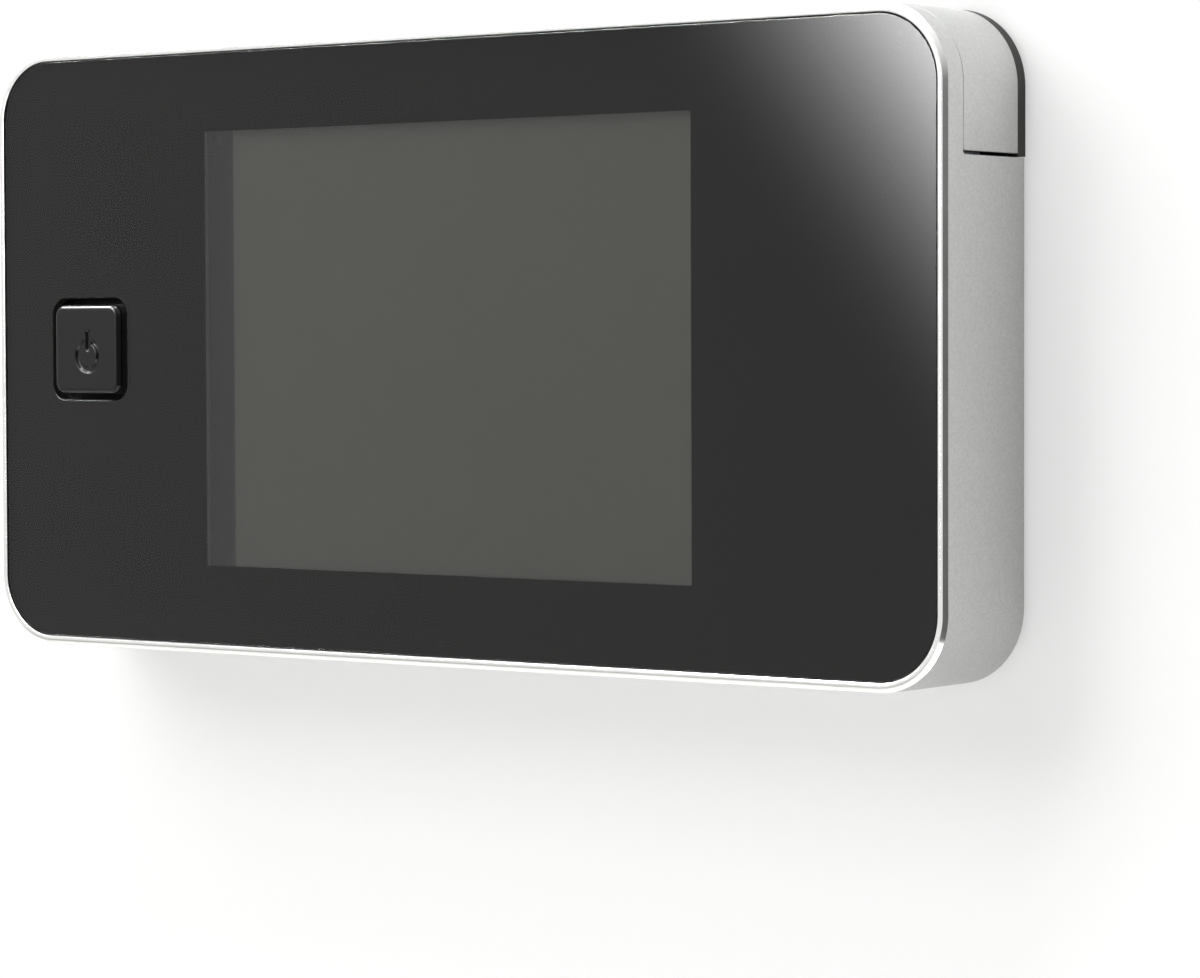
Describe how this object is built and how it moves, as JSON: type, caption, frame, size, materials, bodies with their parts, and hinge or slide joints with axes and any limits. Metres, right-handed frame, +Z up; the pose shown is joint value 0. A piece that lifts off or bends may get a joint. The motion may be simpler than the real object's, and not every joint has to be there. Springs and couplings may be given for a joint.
{
  "type": "peephole door camera",
  "caption": "Indoor monitor with a screen and power button on a door bracket, wired through the peephole bore to an outdoor camera head.",
  "frame": {"origin": "where the tube's axis meets the door's inner face, in the middle of the adhesive pad's back", "axes": "+X right as seen from the room, along the monitor's length; +Y out through the door, along the tube; +Z up"},
  "size_m": [0.13, 0.0667, 0.068],
  "materials": {
    "clear_plate": "clear polished acrylic",
    "black_film": "black print seen through the clear plate",
    "bright_ring": "polished bright plating",
    "silver_case": "satin silver paint on moulded plastic",
    "dark_cover": "fine matt moulded plastic",
    "black_foam": "closed-cell foam or rubber",
    "screen_glass": "grey liquid crystal glass, switched off",
    "light_unit": "white light guide and film",
    "steel_tray": "thin bare steel",
    "amber_flex": "amber polyimide film",
    "black_button": "satin black moulded plastic",
    "black_part": "matt black moulding",
    "green_board": "green lacquered glass fibre board",
    "steel_screw": "zinc plated steel",
    "cream_plastic": "cream moulding",
    "cell_sleeve": "plain printed sleeve on a steel can",
    "nickel_spring": "nickel plated spring steel",
    "zinc_steel": "zinc plated sheet steel",
    "brass_sleeve": "turned brass",
    "satin_nickel": "satin nickel plated turned metal",
    "optical_glass": "clear optical glass",
    "white_ribbon": "white flat cable"
  },
  "bodies": {
    "door_mount": {"mounting_bracket": "zinc_steel", "adhesive_pad": "black_foam", "mounting_sleeve": "brass_sleeve"},
    "monitor": {"front_lens": "clear_plate", "lens_mask": "black_film", "trim_ring": "bright_ring", "case_shell": "silver_case", "rear_cover": "dark_cover", "lcd_gasket": "black_foam", "lcd_glass": "screen_glass", "lcd_backlight": "light_unit", "lcd_frame": "steel_tray", "lcd_flex": "amber_flex", "power_switch": "black_part", "main_board": "green_board", "board_screws": "steel_screw", "case_screws": "steel_screw", "processor": "black_part", "board_parts": "black_part", "camera_socket": "cream_plastic", "ribbon_plug": "cream_plastic", "battery_left": "cell_sleeve", "battery_right": "cell_sleeve", "contact_positive": "nickel_spring", "contact_negative": "nickel_spring", "contact_bridge": "nickel_spring"},
    "power_button": {"power_button": "black_button", "switch_plunger": "black_part"},
    "battery_door": {"battery_door": "dark_cover", "battery_door_cap": "silver_case"},
    "camera": {"camera_barrel": "satin_nickel", "barrel_gasket": "black_foam", "lens_bezel": "bright_ring", "dome_lens": "optical_glass", "lens_cell": "black_part", "lens_elements": "optical_glass", "sensor_board": "green_board", "image_sensor": "black_part", "ribbon_cable": "white_ribbon"}
  },
  "joints": [
    {"name": "monitor_lift", "type": "slide", "parent": "door_mount", "child": "monitor", "axis": [0, 0, 1], "range_m": [0, 0.006], "deforming": ["ribbon_cable"]},
    {"name": "button_press", "type": "slide", "parent": "monitor", "child": "power_button", "axis": [0, 1, 0], "range_m": [0, 0.0006], "stiffness_N_per_m": 1500, "springref_m": -0.0002},
    {"name": "battery_door_slide", "type": "slide", "parent": "monitor", "child": "battery_door", "axis": [0, 0, 1], "range_m": [0, 0.06]},
    {"name": "tube_reach", "type": "slide", "parent": "door_mount", "child": "camera", "axis": [0, 1, 0], "range_m": [-0.007, 0.015], "deforming": ["ribbon_cable"]}
  ]
}
